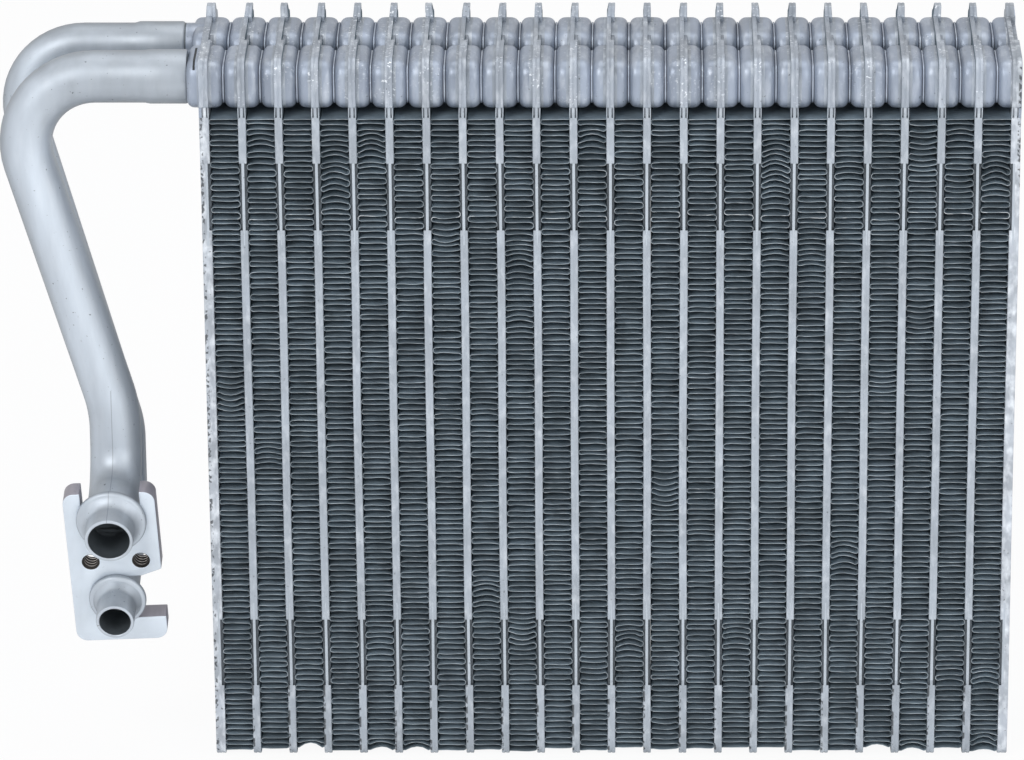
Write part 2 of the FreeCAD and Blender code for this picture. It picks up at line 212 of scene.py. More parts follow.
# Oxide and painted shade on the pipes. A turn is the lean of the wall where the painted shade begins, and the span
# over which it grows. The top and fade set where the painted shade on the legs' sides comes in below the run.
INNER_SHADE_TOP = 212.0
INNER_SHADE_FADE = 40.0
UPPER_TURN = (0.35, 0.5)
INNER_TURN = (0.1, 0.7)
WORKED_RUN = (-186.0, -168.0)
WORKED_RUN_FOOT = (198.0, 212.0)
WORKED_RUN_SHARE = 0.85
WORKED_END = (132.0, 116.0)
WORKED_END_SHARE = 0.5
OUTER_BEND = (95.0, 150.0)
OUTER_BEND_SHARE = 0.9
SEAM_LINE_X = -156.4
SEAM_LINE_HALF = 0.14
SEAM_LINE_TOP = 124.0
SEAM_LINE_FOOT = 90.5
SEAM_LINE_SHARE = 0.45

# Flange
FLANGE_SEAT = Vector((-156.0, FRONT - 11.5, 87.3))
FLANGE_TURN = math.radians(100.0)
FLANGE_ROLL = math.radians(2.5)
FLANGE_EDGE = 0.4
FLANGE_THICKNESS = 7.0
HOLE_SIDE = 7.9
HOLE_DROP = 15.5
HOLE_RADIUS = 2.6
THREAD_PITCH = 1.4
THREAD_DEPTH = 0.35
THREAD_SIDES = 24
THREAD_SHARES = (0.0, 0.2, 0.5, 0.6)
THREAD_FLANK = 0.5
FLANGE_WELD = 1e-3
FLANGE_FLAT = math.radians(1.0)
FLANGE_CORNER = math.radians(60)
FLANGE_SEGMENTS = 2
FLANGE_SIDE_LEAN = 0.3
HOLE_RIM_SHARE = 0.8
# Places in the list of the flange's finishes, after that of its milled faces
SAWN, RIDGE, ROOT = range(1, 4)

# Camera
CAMERA_PLACE = Vector((11.19, -1871.78, 875.31)) * MM
CAMERA_DIP = 22.0
CAMERA_LENS = 224.54
CAMERA_SENSOR = 36.0
CAMERA_SHIFT = -0.1315

# Stage, in metres and watts. A lamp has a place, an aim, a size and a power.
LAMPS = {
    "key": ((-0.9, -1.3, 1.3), (-0.02, 0, 0.12), (0.9, 0.9), 13.0),
    "fill": ((1.2, -1.2, 0.7), (0, 0, 0.12), (0.9, 0.9), 6.0),
    "top": ((0.1, 0.2, 1.6), (0, 0, 0.2), (1.2, 0.7), 5.0),
    "low": ((0.03, -0.34, 0.05), (0.02, 0, 0.02), (0.4, 0.1), 0.16),
}
SKY_COLOUR = (0.87, 0.91, 1.0, 1)
SKY_STRENGTH = 0.6
FLOOR_COLOUR = (0.9, 0.9, 0.9, 1)
FLOOR_ROUGHNESS = 0.9
FLOOR_GLOW = 0.93
FLOOR_REACH = 3.0
WHITE = (1, 1, 1, 1)

# Surface patterns. A grain is the scale and detail of a noise, a span the values over which it comes in.
CLOUD_GRAIN = (140.0, 5.0)
CLOUD_SPAN = (0.35, 0.65)
STAIN_GRAIN = (380.0, 8.0)
STAIN_RISE = 0.25
SPECK_GRAIN = (900.0, 2.0)
SPECK_SPAN = (0.71, 0.75)
FLECK_GRAIN = (1100.0, 3.0)
FLECK_SPAN = (0.60, 0.66)
FLECK_PATCH_GRAIN = (70.0, 2.0)
FLECK_PATCH_SPAN = (0.46, 0.60)
RUB_GRAIN = (190.0, 3.0)
RUB_SPAN = (0.5, 0.56)
RUB_HEIGHT = 184.0
RUB_HALF = 1.3
CHIP_DETAIL = 6.0
CHIP_RISE = 0.04
CHIP_SHARE = 0.85
CHIP_EDGE_SPAN = (0.3, 0.55)
RELIEF_GRAIN = (700.0, 4.0)
RELIEF_DEPTH = 0.0002
ROUGH_SPAN = (0.3, 0.7)
SMOOTHER = 0.06
ROUGHER = 0.08
# Painted shade: the base colour darkens towards the rim share over this span of facing, where the surface turns
# away from the camera.
FACING_BLEND = 0.5
FACING_SPAN = (0.35, 0.9)
STAIN_COLOUR = (0.80, 0.84, 0.88)
SPECK_COLOUR = (0.10, 0.105, 0.11)
FLECK_COLOUR = (0.88, 0.91, 0.94)
CHIP_COLOUR = (0.05, 0.055, 0.06)
RUB_COLOUR = (0.92, 0.94, 0.95)
SEAM_LINE_COLOUR = (0.16, 0.17, 0.19)


# Materials

def node_of(tree, kind, **values):
    """Shader node with its plain inputs set by name."""
    node = tree.nodes.new(kind)
    for name, value in values.items():
        label = name.replace("_", " ").title()
        node.inputs[label].default_value = value
    return node


def noise_field(tree, coords, grain, stretch=(1, 1, 1)):
    """Noise on the object's own coordinates, stretched where the surface was drawn."""
    scale, detail = grain
    mapping = tree.nodes.new("ShaderNodeMapping")
    mapping.inputs["Scale"].default_value = stretch
    tree.links.new(coords, mapping.inputs["Vector"])
    noise = node_of(tree, "ShaderNodeTexNoise", scale=scale, detail=detail)
    tree.links.new(mapping.outputs["Vector"], noise.inputs["Vector"])
    return noise.outputs["Fac"]


def ramp(tree, value, span, levels):
    """Grey that goes from one level to the other over a span of the value."""
    node = tree.nodes.new("ShaderNodeValToRGB")
    for element, place, level in zip(node.color_ramp.elements, span, levels):
        element.position = place
        element.color = (level, level, level, 1)
    tree.links.new(value, node.inputs["Fac"])
    return node.outputs["Color"]


def calculated(tree, operation, first, second, third=None):
    """One sum of the shader's arithmetic."""
    node = tree.nodes.new("ShaderNodeMath")
    node.operation = operation
    for socket, value in zip(node.inputs, (first, second, third)):
        if isinstance(value, bpy.types.NodeSocket):
            tree.links.new(value, socket)
        elif value is not None:
            socket.default_value = value
    return node.outputs[0]


def layered(tree, kind, factor, base, other):
    """Mix of two colours, the factor and either colour linked or fixed."""
    mix = tree.nodes.new("ShaderNodeMix")
    mix.data_type = "RGBA"
    mix.blend_type = kind
    for socket, value in ((mix.inputs[0], factor), (mix.inputs[6], base), (mix.inputs[7], other)):
        if isinstance(value, bpy.types.NodeSocket):
            tree.links.new(value, socket)
        elif isinstance(value, tuple):
            socket.default_value = (*value, 1)
        else:
            socket.default_value = value
    return mix.outputs[2]


def marked(tree, name):
    """Share that the piece's own attribute gives."""
    mark = tree.nodes.new("ShaderNodeAttribute")
    mark.attribute_name = name
    return mark.outputs["Fac"]


def axes_of(tree, coords):
    """The coordinates one by one."""
    parts = tree.nodes.new("ShaderNodeSeparateXYZ")
    tree.links.new(coords, parts.inputs[0])
    return parts.outputs


def chipped(tree, coords, threshold, scale):
    """Dark chips along the plates' edges, which carry an attribute of their own."""
    near = ramp(tree, marked(tree, "edge"), CHIP_EDGE_SPAN, (0.0, 1.0))
    chips = noise_field(tree, coords, (scale, CHIP_DETAIL))
    patches = ramp(tree, chips, (threshold, threshold + CHIP_RISE), (0.0, CHIP_SHARE))
    return calculated(tree, "MULTIPLY", near, patches)


def flecked(tree, coords, share):
    """Bright flecks of flux that gather in patches."""
    bright = ramp(tree, noise_field(tree, coords, FLECK_GRAIN), FLECK_SPAN, (0.0, share))
    gathered = ramp(tree, noise_field(tree, coords, FLECK_PATCH_GRAIN), FLECK_PATCH_SPAN, (0.0, 1.0))
    return calculated(tree, "MULTIPLY", bright, gathered)


def rubbed(tree, coords, share):
    """Bright nicks where something rubbed across the fins at one height."""
    height = axes_of(tree, coords)["Z"]
    near = calculated(tree, "COMPARE", height, RUB_HEIGHT * MM, RUB_HALF * MM)
    patches = ramp(tree, noise_field(tree, coords, RUB_GRAIN), RUB_SPAN, (0.0, share))
    return calculated(tree, "MULTIPLY", near, patches)


def seam_line(tree, coords):
    """Parting line down the front of the suction pipe's lower stretch."""
    axes = axes_of(tree, coords)
    near = calculated(tree, "COMPARE", axes["X"], SEAM_LINE_X * MM, SEAM_LINE_HALF * MM)
    middle = (SEAM_LINE_TOP + SEAM_LINE_FOOT) / 2
    below = calculated(tree, "COMPARE", axes["Z"], middle * MM, (SEAM_LINE_TOP - middle) * MM)
    ahead = calculated(tree, "LESS_THAN", axes["Y"], -TANK_Y * MM)
    both = calculated(tree, "MULTIPLY", below, ahead)
    return calculated(tree, "MULTIPLY", calculated(tree, "MULTIPLY", near, both), SEAM_LINE_SHARE)


def metal(name, colour, metallic, roughness, mottle, stain, specks, relief, stretch=(1, 1, 1), rim=0.75,
          flux=0.62, oxide_and_shade_dark=0.0, chips=None, rubs=0.0, flecks=0.0):
    """Aluminium with mottling, stains, dark specks and a fine bump, and painted shade by the rim share where it
    turns away from the camera.

    Flux is the noise value where stains begin, and chips a threshold and scale of noise. The pipes' darkening,
    rubs and flecks are shares of the pipes' oxide and painted shade, of the nicks across the fins and of bright
    flux.
    """
    material = bpy.data.materials.new(name)
    material.use_nodes = True
    tree = material.node_tree
    shader = tree.nodes["Principled BSDF"]
    shader.inputs["Metallic"].default_value = metallic
    coords = tree.nodes.new("ShaderNodeTexCoord").outputs["Object"]
    cloud = noise_field(tree, coords, CLOUD_GRAIN, stretch)
    shade = layered(tree, "MULTIPLY", 1.0, colour, ramp(tree, cloud, CLOUD_SPAN, (1.0 - mottle, 1.0)))
    blots = noise_field(tree, coords, STAIN_GRAIN, stretch)
    shade = layered(tree, "MIX", ramp(tree, blots, (flux, flux + STAIN_RISE), (0.0, stain)), shade, STAIN_COLOUR)
    dots = noise_field(tree, coords, SPECK_GRAIN)
    shade = layered(tree, "MIX", ramp(tree, dots, SPECK_SPAN, (0.0, specks)), shade, SPECK_COLOUR)
    if flecks > 0:
        shade = layered(tree, "MIX", flecked(tree, coords, flecks), shade, FLECK_COLOUR)
    if chips:
        shade = layered(tree, "MIX", chipped(tree, coords, *chips), shade, CHIP_COLOUR)
    if rubs > 0:
        shade = layered(tree, "MIX", rubbed(tree, coords, rubs), shade, RUB_COLOUR)
    # Oxide on the worked ends and painted shade from the lean of the wall, both read from the pipe's own mark.
    if oxide_and_shade_dark > 0:
        oxide_and_shade = ramp(tree, marked(tree, "oxide_and_shade"), (0.0, 1.0), (1.0, 1.0 - oxide_and_shade_dark))
        shade = layered(tree, "MULTIPLY", 1.0, shade, oxide_and_shade)
        shade = layered(tree, "MIX", seam_line(tree, coords), shade, SEAM_LINE_COLOUR)
    # Painted shade: the base colour is darkened by the rim share where the surface turns away from the camera.
    facing = node_of(tree, "ShaderNodeLayerWeight", blend=FACING_BLEND)
    edge = ramp(tree, facing.outputs["Facing"], FACING_SPAN, (1.0, rim))
    shade = layered(tree, "MULTIPLY", 1.0, shade, edge)
    tree.links.new(shade, shader.inputs["Base Color"])
    rough = ramp(tree, cloud, ROUGH_SPAN, (roughness - SMOOTHER, roughness + ROUGHER))
    tree.links.new(rough, shader.inputs["Roughness"])
    bump = node_of(tree, "ShaderNodeBump", strength=relief, distance=RELIEF_DEPTH)
    tree.links.new(noise_field(tree, coords, RELIEF_GRAIN, stretch), bump.inputs["Height"])
    tree.links.new(bump.outputs["Normal"], shader.inputs["Normal"])
    return material


def seen_directly(tree, share):
    """Share for rays from the camera, in reflections and through glass, and zero for the rest."""
    path = tree.nodes.new("ShaderNodeLightPath")
    both = calculated(tree, "MAXIMUM", path.outputs["Is Camera Ray"], path.outputs["Is Glossy Ray"])
    every = calculated(tree, "MAXIMUM", both, path.outputs["Is Transmission Ray"])
    return calculated(tree, "MULTIPLY", every, share)


def blend_shaders(tree, share, base, other, surface):
    """Two shaders mixed by a share into a surface."""
    mix = tree.nodes.new("ShaderNodeMixShader")
    tree.links.new(share, mix.inputs[0])
    tree.links.new(base.outputs[0], mix.inputs[1])
    tree.links.new(other.outputs[0], mix.inputs[2])
    tree.links.new(mix.outputs[0], surface)


def plain_floor():
    """Pale floor that keeps the object's shadow and shows near white to the camera and in reflections."""
    material = bpy.data.materials.new("pale_floor")
    material.use_nodes = True
    tree = material.node_tree
    shader = tree.nodes["Principled BSDF"]
    shader.inputs["Base Color"].default_value = FLOOR_COLOUR
    shader.inputs["Roughness"].default_value = FLOOR_ROUGHNESS
    glow = node_of(tree, "ShaderNodeEmission", color=WHITE, strength=1.0)
    surface = tree.nodes["Material Output"].inputs["Surface"]
    blend_shaders(tree, seen_directly(tree, FLOOR_GLOW), shader, glow, surface)
    return material


plate_metal = metal("brazed_plate", (0.43, 0.475, 0.525), metallic=0.5, roughness=0.55, mottle=0.20, stain=0.4,
                    specks=0.6, relief=0.5, stretch=(1, 1, 0.5), flux=0.5, chips=(0.49, 400.0))
rim_metal = metal("fluxed_rim", (0.42, 0.465, 0.525), metallic=0.45, roughness=0.48, mottle=0.28, stain=0.5,
                  specks=0.8, relief=0.8, stretch=(1, 0.4, 0.35), flux=0.49, flecks=0.9)
cup_metal = metal("drawn_cup", (0.37, 0.42, 0.505), metallic=0.45, roughness=0.43, mottle=0.26, stain=0.3,
                  specks=0.7, relief=0.7, stretch=(1, 0.35, 0.3), flux=0.5, flecks=0.3)
# Painted shade on the recessed shoulders beside the narrow seams.
neck_shade_metal = metal("painted_shade_neck", (0.15, 0.17, 0.19), metallic=0.4, roughness=0.6, mottle=0.3, stain=0.05,
                   specks=0.2, relief=0.2)
seam_metal = metal("bright_seam", (0.50, 0.55, 0.60), metallic=0.5, roughness=0.5, mottle=0.15, stain=0.5,
                   specks=0.5, relief=0.3)
end_metal = metal("scuffed_end", (0.40, 0.435, 0.48), metallic=0.45, roughness=0.55, mottle=0.35, stain=0.7,
                  specks=0.95, relief=0.9, stretch=(1, 1, 0.6), flux=0.47, chips=(0.5, 500.0))
pitted_metal = metal("pitted_end", (0.50, 0.54, 0.59), metallic=0.45, roughness=0.55, mottle=0.3, stain=0.85,
                     specks=0.95, relief=0.9, stretch=(1, 1, 0.6), flux=0.44, chips=(0.53, 800.0))
sheet_metal = metal("plain_sheet", (0.42, 0.46, 0.51), metallic=0.5, roughness=0.5, mottle=0.12, stain=0.12,
                    specks=0.3, relief=0.2, stretch=(1, 1, 0.3), flux=0.55)
side_metal = metal("coated_side", (0.27, 0.33, 0.37), metallic=0.0, roughness=0.85, mottle=0.3, stain=0.1,
                   specks=0.3, relief=0.8)
side_metal.node_tree.nodes["Principled BSDF"].inputs["Specular IOR Level"].default_value = 0.0
fin_metal = metal("coated_fin", (0.345, 0.43, 0.49), metallic=0.3, roughness=0.55, mottle=0.3, stain=0.1,
                  specks=0.3, relief=0.2)
fin_edge_metal = metal("cut_fin_edge", (0.39, 0.445, 0.48), metallic=0.4, roughness=0.5, mottle=0.5, stain=0.5,
                       specks=0.5, relief=0.1, flux=0.5, rubs=0.55)
# The drawn pipe carries oxide and painted shade from its own mark.
pipe_metal = metal("drawn_pipe", (0.68, 0.745, 0.815), metallic=0.4, roughness=0.45, mottle=0.14, stain=0.2,
                   specks=0.7, relief=0.25, stretch=(1, 1, 0.2), rim=0.6, flux=0.5, oxide_and_shade_dark=0.45)
flange_metal = metal("milled_flange", (0.69, 0.755, 0.82), metallic=0.45, roughness=0.45, mottle=0.06, stain=0.3,
                     specks=0.1, relief=0.1)
flange_side_metal = metal("sawn_flange_side", (0.40, 0.38, 0.42), metallic=0.6, roughness=0.45, mottle=0.3,
                          stain=0.1, specks=0.3, relief=0.4, stretch=(1, 0.1, 1))
thread_metal = metal("cut_thread", (0.62, 0.57, 0.53), metallic=0.8, roughness=0.35, mottle=0.3, stain=0.1,
                     specks=0.3, relief=0.2)
# Painted shade between the threads and on the walls of the holes.
root_shade_metal = metal("painted_shade_thread_root", (0.055, 0.05, 0.045), metallic=0.5, roughness=0.5, mottle=0.4, stain=0.05,
                   specks=0.3, relief=0.2)
# Painted shade of the boss's slit, which has no gap of its own.
slit_shade_metal = metal("painted_shade_slit", (0.035, 0.04, 0.045), metallic=0.2, roughness=0.7, mottle=0.3, stain=0.05,
                   specks=0.2, relief=0.2)
# Painted shade inside the pipes, in their mouths and in the gap before the sleeve.
bore_shade_metal = metal("painted_shade_bore", (0.12, 0.14, 0.155), metallic=0.4, roughness=0.5, mottle=0.3, stain=0.05,
                   specks=0.2, relief=0.2)
# Finishes of each kind of piece, the main one first
PLATE_FINISH = (plate_metal, cup_metal, neck_shade_metal, slit_shade_metal, rim_metal, seam_metal, side_metal)
LEFT_FINISH = (pitted_metal, cup_metal, neck_shade_metal, slit_shade_metal, rim_metal, seam_metal, sheet_metal)
RIGHT_FINISH = (pitted_metal, cup_metal, neck_shade_metal, slit_shade_metal, end_metal, seam_metal, sheet_metal)
FIN_FINISH = (fin_metal, fin_edge_metal, side_metal)
PIPE_FINISH = (pipe_metal, bore_shade_metal, cup_metal)
FLANGE_FINISH = (flange_metal, flange_side_metal, thread_metal, root_shade_metal)


# Mesh helpers

def millimetres(bm):
    """Brings a mesh drawn in millimetres to the frame's metres."""
    bmesh.ops.scale(bm, vec=(MM, MM, MM), verts=bm.verts)


def piece_from(bm, name, nodes, materials):
    """Finished piece from a mesh in metres, riding on the object and standing for its node."""
    bmesh.ops.recalc_face_normals(bm, faces=bm.faces)
    for face in bm.faces:
        face.smooth = True
    mesh = bpy.data.meshes.new(name)
    bm.to_mesh(mesh)
    bm.free()
    mesh.set_sharp_from_angle(angle=SMOOTH_BELOW)
    for material in materials:
        mesh.materials.append(material)
    piece = bpy.data.objects.new(name, mesh)
    bpy.context.scene.collection.objects.link(piece)
    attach(piece, "root")
    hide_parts(*nodes)
    return piece


def merged(bm, other):
    """Adds a finished mesh to another."""
    spare = bpy.data.meshes.new("spare")
    other.to_mesh(spare)
    other.free()
    bm.from_mesh(spare)
    bpy.data.meshes.remove(spare)


def cut_across(bm, geometry, place, way):
    """New edges where a plane crosses the faces."""
    bmesh.ops.bisect_plane(bm, geom=geometry, plane_co=place, plane_no=way, dist=CUT_DISTANCE)


def slab(outline, x_from, x_to, bevel, rounding=()):
    """Sheet between two planes across X, its corners rounded and its edges eased."""
    bm = bmesh.new()
    corners = [bm.verts.new((x_from, y, z)) for y, z in outline]
    face = bm.faces.new(corners)
    rounded = [(corners[index], radius) for index, radius in rounding]
    for vert, radius in rounded:
        bmesh.ops.bevel(bm, geom=[vert], offset=radius, segments=CORNER_SEGMENTS, profile=0.5, affect="VERTICES",
                        material=-1)
    grown = bmesh.ops.extrude_face_region(bm, geom=bm.faces[:])["geom"]
    lifted = [item for item in grown if isinstance(item, bmesh.types.BMVert)]
    bmesh.ops.translate(bm, verts=lifted, vec=(x_to - x_from, 0, 0))
    bmesh.ops.recalc_face_normals(bm, faces=bm.faces)
    if bevel > 0:
        edges = [edge for edge in bm.edges if edge.calc_face_angle(0) > SHARP_CORNER]
        bmesh.ops.bevel(bm, geom=edges, offset=bevel, segments=1, profile=0.5, affect="EDGES", material=-1)
    return bm


def barrel(y_middle, x_from, x_to, shoulder_from, shoulder_to):
    """Drawn cup: rounded in section, with its shoulders rolled over at either end."""
    bm = bmesh.new()
    bmesh.ops.create_cube(bm, size=1.0)
    height = CUP_TOP - CUP_BOTTOM
    bmesh.ops.scale(bm, vec=(x_to - x_from, CUP_DEPTH, height), verts=bm.verts)
    middle = ((x_from + x_to) / 2, y_middle, (CUP_TOP + CUP_BOTTOM) / 2)
    bmesh.ops.translate(bm, vec=middle, verts=bm.verts)
    along = [edge for edge in bm.edges if abs(edge.verts[0].co.x - edge.verts[1].co.x) > HAIR]
    bmesh.ops.bevel(bm, geom=along, offset=CUP_RADIUS, segments=CUP_SEGMENTS, profile=0.5, affect="EDGES",
                    material=-1)
    for x_end, shoulder in ((x_from, shoulder_from), (x_to, shoulder_to)):
        if shoulder > 0:
            rim = [edge for edge in bm.edges if all(abs(vert.co.x - x_end) < HAIR for vert in edge.verts)]
            bmesh.ops.bevel(bm, geom=rim, offset=shoulder, segments=SHOULDER_SEGMENTS, profile=0.5,
                            affect="EDGES", material=-1)
    for share in CUP_CUTS:
        cut = x_from + (x_to - x_from) * share
        cut_across(bm, bm.verts[:] + bm.edges[:] + bm.faces[:], (cut, 0, 0), (1, 0, 0))
    return bm


def drawn_cup(bm, y_middle, x_from, x_to, shoulder_from, shoulder_to):
    """Cup with a slight crown and the thin ring where it is brazed to the next cup."""
    ring_low = RING_WIDTH if shoulder_from == CUP_SHOULDER else 0.0
    ring_high = RING_WIDTH if shoulder_to == CUP_SHOULDER else 0.0
    cup = barrel(y_middle, x_from + ring_low, x_to - ring_high, shoulder_from, shoulder_to)
    centre_z = (CUP_TOP + CUP_BOTTOM) / 2
    for vert in cup.verts:
        crown = CUP_CROWN * (1.0 - (abs(vert.co.x) / HALF_PITCH) ** 2) - CUP_CROWN
        reach = Vector((0, vert.co.y - y_middle, vert.co.z - centre_z))
        vert.co += reach.normalized() * crown
    merged(bm, cup)
    for used, x_low, x_high in ((ring_low, x_from, x_from + ring_low), (ring_high, x_to - ring_high, x_to)):
        if used:
            half_y = CUP_DEPTH / 2 - RING_INSET
            low = CUP_BOTTOM + RING_INSET
            high = CUP_TOP - RING_INSET
            outline = [(y_middle - half_y, low), (y_middle + half_y, low),
                       (y_middle + half_y, high), (y_middle - half_y, high)]
            rounding = [(index, CUP_RADIUS - RING_INSET) for index in range(4)]
            merged(bm, slab(outline, x_low, x_high, 0.0, rounding))


def sheet_outline(notched, necked):
    """Edge of one drawn sheet from the side, and the corners that are rounded."""
    front_in = FRONT + LIP_DEPTH
    outline = [(FRONT, 0), (BACK, 0), (BACK, RIM_TOP)]
    rounding = [(0, BOTTOM_RADIUS), (1, BOTTOM_RADIUS), (2, RIM_RADIUS)]
    outline += [(TAB_MIDDLE + TAB_FOOT, RIM_TOP), (TAB_MIDDLE + TAB_HEAD, CREST),
                (TAB_MIDDLE - TAB_HEAD, CREST), (TAB_MIDDLE - TAB_FOOT, RIM_TOP)]
    if notched:
        outline += [(NOTCH[1], RIM_TOP), (NOTCH[1], RIM_TOP - NOTCH_DROP),
                    (NOTCH[0], RIM_TOP - NOTCH_DROP), (NOTCH[0], RIM_TOP)]
    rounding.append((len(outline), RIM_RADIUS))
    outline.append((FRONT, RIM_TOP))
    low, high = WINDOW
    inner = FRONT + WINDOW_DEPTH
    outline += [(FRONT, high), (inner, high), (inner, low), (FRONT, low)]
    if necked:
        for low, high in reversed(NECKS):
            outline += [(FRONT, high), (front_in, high), (front_in, low), (FRONT, low)]
    return outline, rounding


def rim_outline():
    """Edge of the braze between the sheets round the tanks, a little below their own edges."""
    front = FRONT + RIM_GROOVE
    back = BACK - RIM_GROOVE
    top = RIM_TOP - RIM_GROOVE
    crest = CREST - RIM_GROOVE
    low = WINDOW[1]
    outline = [(front, low), (back, low), (back, top), (TAB_MIDDLE + TAB_FOOT, top),
               (TAB_MIDDLE + TAB_HEAD, crest), (TAB_MIDDLE - TAB_HEAD, crest), (TAB_MIDDLE - TAB_FOOT, top),
               (front, top)]
    return outline, [(2, RIM_RADIUS), (7, RIM_RADIUS)]


def two_sheets(bm, x_from, x_to):
    """Two drawn sheets face to face, with their seam, window and ears."""
    for low, high, notched in ((x_from, -SEAM_GAP, False), (SEAM_GAP, x_to, True)):
        necked = max(abs(low), abs(high)) < END_OUTER
        outline, rounding = sheet_outline(notched, necked)
        merged(bm, slab(outline, low, high, EDGE_BEVEL, rounding))
    seam_front = FRONT + SEAM_RECESS
    seam_back = BACK - RIM_GROOVE
    head = WINDOW[1]
    outline = [(seam_front, RIM_GROOVE), (seam_back, RIM_GROOVE), (seam_back, head), (seam_front, head)]
    merged(bm, slab(outline, -SEAM_HALF, SEAM_HALF, 0.0, [(0, BOTTOM_RADIUS), (1, BOTTOM_RADIUS)]))
    outline, rounding = rim_outline()
    merged(bm, slab(outline, -SEAM_GAP - RIM_BRAZE[0], SEAM_GAP + RIM_BRAZE[1], 0.0, rounding))
    for outer in (x_from, x_to):
        side = math.copysign(1, outer)
        edge = side * HALF_TUBE
        inner = edge - side * WINDOW_EAR
        ear = [(FRONT, WINDOW[0]), (FRONT + WINDOW_DEPTH, WINDOW[0]),
               (FRONT + WINDOW_DEPTH, WINDOW[1]), (FRONT, WINDOW[1])]
        merged(bm, slab(ear, min(outer, inner), max(outer, inner), 0.0))


def levelled(bm):
    """Cuts a plate across at even heights so that it can waver."""
    for level in range(1, LEVELS):
        height = (RIM_TOP - LEVELS_MARGIN) * level / LEVELS
        cut_across(bm, bm.verts[:] + bm.edges[:] + bm.faces[:], (0, 0, height), (0, 0, 1))


def mark_edges(bm, side, foot, top):
    """Marks the lips' outer edges on one side between two heights, where the plates are scuffed."""
    layer = bm.verts.layers.float.new("edge")
    outer = HALF_TUBE - EDGE_BEVEL - SCUFF_SLACK
    for vert in bm.verts:
        if side * vert.co.x > outer and vert.co.y < FRONT + SCUFF_DEPTH and foot <= vert.co.z < top:
            vert[layer] = 1.0


def settle(bm, centre, chance, inward=0):
    """Moves a plate to its place and gives it the slight unevenness of brazed sheet."""
    phase = chance.uniform(0, 2 * math.pi)
    sway = chance.uniform(*SWAY)
    lean = chance.uniform(-TAB_LEAN, TAB_LEAN)
    for vert in bm.verts:
        height = vert.co.z
        if height > RIM_TOP:
            rise = (height - RIM_TOP) / (CREST - RIM_TOP)
            vert.co.x += lean * rise - vert.co.x * TAB_PINCH
        elif height < CUP_BOTTOM:
            vert.co.x += sway * (math.sin(height * SWAY_WAVE + phase) + inward)
    bmesh.ops.translate(bm, vec=(centre, 0, 0), verts=bm.verts)
    millimetres(bm)


def mark_plate(bm):
    """Gives the cups and the plain sides their own finish, and the recesses beside the narrow seams a painted
    shade.
    """
    bm.normal_update()
    for face in bm.faces:
        middle = face.calc_center_median()
        at_neck = any(low - SLACK < middle.z < high + SLACK for low, high in NECKS)
        if abs(face.normal.x) > FACES_ALONG and abs(abs(middle.x) - END_OUTER) < FINE_SLACK:
            face.material_index = SIDE
        elif middle.z > CUP_BOTTOM - SLACK and abs(middle.x) > HALF_TUBE + FINE_SLACK:
            face.material_index = CUP
        elif at_neck and middle.y < FRONT + LIP_DEPTH + SLACK:
            if abs(middle.x) < SEAM_HALF - SEAM_SLACK:
                face.material_index = SEAM
            # Painted shade on the recessed shoulders.
            elif middle.y > FRONT + NECK_BACK:
                face.material_index = NECK
        elif abs(face.normal.x) > FACES_ALONG:
            face.material_index = SIDE
        elif middle.z > WINDOW[1]:
            face.material_index = RIM


def build_tubes():
    """Flat tubes between the fins, all from one template."""
    template = bmesh.new()
    two_sheets(template, -HALF_TUBE, HALF_TUBE)
    levelled(template)
    for side in SIDES:
        drawn_cup(template, side * TANK_Y, -HALF_PITCH, HALF_PITCH, CUP_SHOULDER, CUP_SHOULDER)
    mark_plate(template)
    mark_edges(template, -1, 0.0, SCUFF_TOP)
    for number in range(1, TUBES + 1):
        chance = random.Random(TUBE_SEED + number)
        tube = template.copy()
        settle(tube, PITCH * (number - (TUBES + 1) / 2), chance)
        piece_from(tube, "drawn_tube_%02d" % number, ["tube_%02d" % number], PLATE_FINISH)
    template.free()


def cut_slit(bm):
    """Painted shade of a slit in the boss on the front tank, on faces cut out of the cup."""
    low, high = BOSS_SLIT
    for place, way in (((low, 0, 0), (1, 0, 0)), ((high, 0, 0), (1, 0, 0)),
                       ((0, 0, BOSS_SLIT_FOOT), (0, 0, 1)), ((0, BOSS_SLIT_BACK, 0), (0, 1, 0))):
        near = [face for face in bm.faces if face.calc_center_median().x < -HALF_TUBE - BOSS_SLIT_START]
        rims = list({edge for face in near for edge in face.edges})
        ends = list({vert for face in near for vert in face.verts})
        cut_across(bm, ends + rims + near, place, way)
    # Painted shade: the cut faces get the near-black finish.
    for face in bm.faces:
        middle = face.calc_center_median()
        if low < middle.x < high and middle.z > BOSS_SLIT_FOOT and middle.y < BOSS_SLIT_BACK:
            face.material_index = SLIT


def build_end_plates():
    """Left plate with its two bosses, and right plate, closed at its outer side."""
    left = bmesh.new()
    two_sheets(left, -END_OUTER, HALF_TUBE)
    levelled(left)
    for side in SIDES:
        drawn_cup(left, side * TANK_Y, -HALF_PITCH, HALF_PITCH, BOSS_SHOULDER, CUP_SHOULDER)
    mark_plate(left)
    mark_edges(left, -1, 0.0, CREST)
    cut_slit(left)
    settle(left, -END_X, random.Random(LEFT_SEED), 1)
    piece_from(left, "drawn_end_left", ["end_plate_left"], LEFT_FINISH)
    right = bmesh.new()
    two_sheets(right, -HALF_TUBE, END_OUTER)
    levelled(right)
    for side in SIDES:
        drawn_cup(right, side * TANK_Y, -HALF_PITCH, 0.0, CUP_SHOULDER, 0.0)
    mark_plate(right)
    mark_edges(right, 1, SCUFF_FOOT, CREST)
    settle(right, END_X, random.Random(RIGHT_SEED), -1)
    piece_from(right, "drawn_end_right", ["end_plate_right"], RIGHT_FINISH)


# Fins

